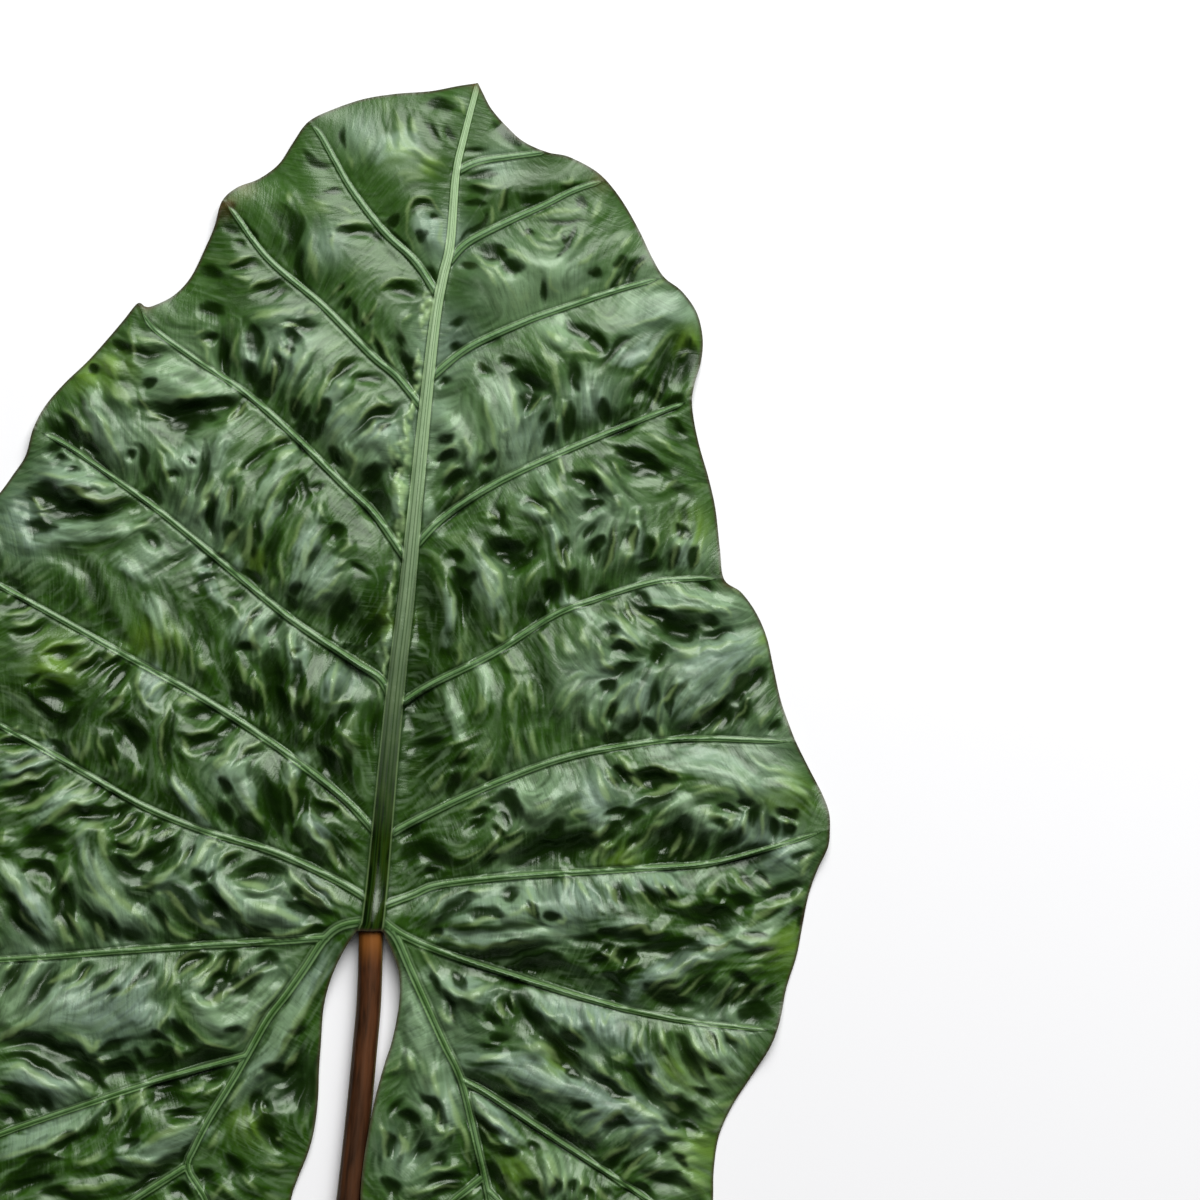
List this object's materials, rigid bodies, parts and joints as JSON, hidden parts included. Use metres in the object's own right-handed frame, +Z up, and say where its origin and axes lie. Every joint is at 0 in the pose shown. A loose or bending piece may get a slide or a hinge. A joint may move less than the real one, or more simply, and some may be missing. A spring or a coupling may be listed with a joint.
{
  "type": "alocasia leaf",
  "caption": "Large arrow-shaped leaf with a deeply quilted blade, raised pale ribs, two rounded basal lobes and a cut red-brown stalk, lying face up.",
  "frame": {"origin": "on the resting surface, on the flat underside of the midrib's keel, under the point where the stalk meets the blade", "axes": "+Y along the midrib towards the tip, +X to the right seen from above, +Z up out of the upper face"},
  "size_m": [0.3945, 0.6452, 0.0155],
  "materials": {
    "leaf_green": "glossy waxy leaf",
    "stalk_brown": "satin plant stalk"
  },
  "bodies": {
    "root": {"blade": "leaf_green", "petiole": "stalk_brown"}
  },
  "joints": []
}
